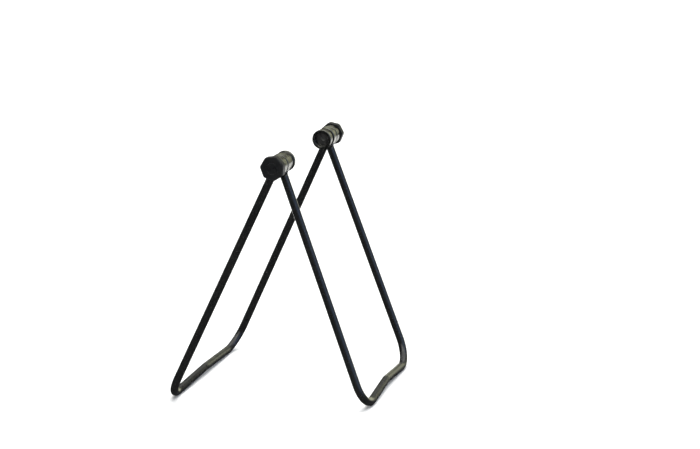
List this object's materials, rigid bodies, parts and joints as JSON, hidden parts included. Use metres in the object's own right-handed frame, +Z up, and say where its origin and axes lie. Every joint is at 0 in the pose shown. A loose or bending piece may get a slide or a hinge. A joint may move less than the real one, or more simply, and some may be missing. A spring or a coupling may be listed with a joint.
{
  "type": "bicycle hub stand",
  "caption": "Folding bicycle hub stand: two crossed bent-tube frames pivot at the rear axle line and clamp with hand knobs; inner cups grip the axle ends.",
  "frame": {"origin": "on the floor, midway between the outermost points of the stand", "axes": "+X to the front of the bicycle, +Y to its left along the axle line, +Z up"},
  "size_m": [0.3115, 0.2926, 0.3808],
  "materials": {
    "frame_paint": "gloss black enamel on steel tube",
    "plated_steel": "bright zinc plating",
    "plain_steel": "zinc-plated hardware",
    "spring_steel": "dull zinc-plated spring steel",
    "bush_plastic": "moulded black plastic",
    "washer_plastic": "pressed fibre and plastic",
    "pad_rubber": "soft black rubber",
    "knob_plastic": "satin moulded black plastic",
    "cap_plastic": "smooth moulded black plastic"
  },
  "bodies": {
    "outer_frame": {"outer_frame": "frame_paint", "right_outer_eye": "plated_steel", "left_outer_eye": "plated_steel", "right_outer_bush": "bush_plastic", "left_outer_bush": "bush_plastic", "right_friction_washer": "washer_plastic", "left_friction_washer": "washer_plastic", "right_stop_pin": "plain_steel", "left_stop_pin": "plain_steel"},
    "inner_frame": {"inner_frame": "frame_paint", "right_inner_eye": "plated_steel", "left_inner_eye": "plated_steel", "right_inner_bush": "bush_plastic", "left_inner_bush": "bush_plastic"},
    "right_cup_set": {"right_axle_cup": "plated_steel", "right_cup_pad": "pad_rubber", "right_spindle": "plain_steel", "right_cup_washer": "plain_steel"},
    "right_collar": {"right_thrust_washer": "plain_steel", "right_spring_washer": "spring_steel"},
    "right_knob_set": {"right_knob": "knob_plastic", "right_knob_nut": "plain_steel", "right_knob_cap": "cap_plastic"},
    "left_cup_set": {"left_axle_cup": "plated_steel", "left_cup_pad": "pad_rubber", "left_spindle": "plain_steel", "left_cup_washer": "plain_steel"},
    "left_collar": {"left_thrust_washer": "plain_steel", "left_spring_washer": "spring_steel"},
    "left_knob_set": {"left_knob": "knob_plastic", "left_knob_nut": "plain_steel", "left_knob_cap": "cap_plastic"}
  },
  "joints": [
    {"name": "fold", "type": "hinge", "parent": "outer_frame", "child": "inner_frame", "pos_m": [0.02825, 0, 0.363], "axis": [0, 1, 0], "range_deg": [0, 45.3]},
    {"name": "right_cup_swivel", "type": "hinge", "parent": "outer_frame", "child": "right_cup_set", "pos_m": [0.02825, -0.1, 0.363], "axis": [0, -1, 0], "continuous": true},
    {"name": "right_collar_slide", "type": "slide", "parent": "right_cup_set", "child": "right_collar", "axis": [0, -1, 0], "range_m": [0, 0.0025]},
    {"name": "right_knob_turn", "type": "hinge", "parent": "right_collar", "child": "right_knob_set", "pos_m": [0.02825, -0.14, 0.363], "axis": [0, -1, 0], "range_deg": [0, 720]},
    {"name": "left_cup_swivel", "type": "hinge", "parent": "outer_frame", "child": "left_cup_set", "pos_m": [0.02825, 0.1, 0.363], "axis": [0, 1, 0], "continuous": true},
    {"name": "left_collar_slide", "type": "slide", "parent": "left_cup_set", "child": "left_collar", "axis": [0, 1, 0], "range_m": [0, 0.0025]},
    {"name": "left_knob_turn", "type": "hinge", "parent": "left_collar", "child": "left_knob_set", "pos_m": [0.02825, 0.14, 0.363], "axis": [0, 1, 0], "range_deg": [0, 720]}
  ],
  "couplings": [
    {"joint": "right_collar_slide", "follows": "right_knob_turn", "m_per_rad": 0.0001989},
    {"joint": "left_collar_slide", "follows": "left_knob_turn", "m_per_rad": 0.0001989}
  ]
}
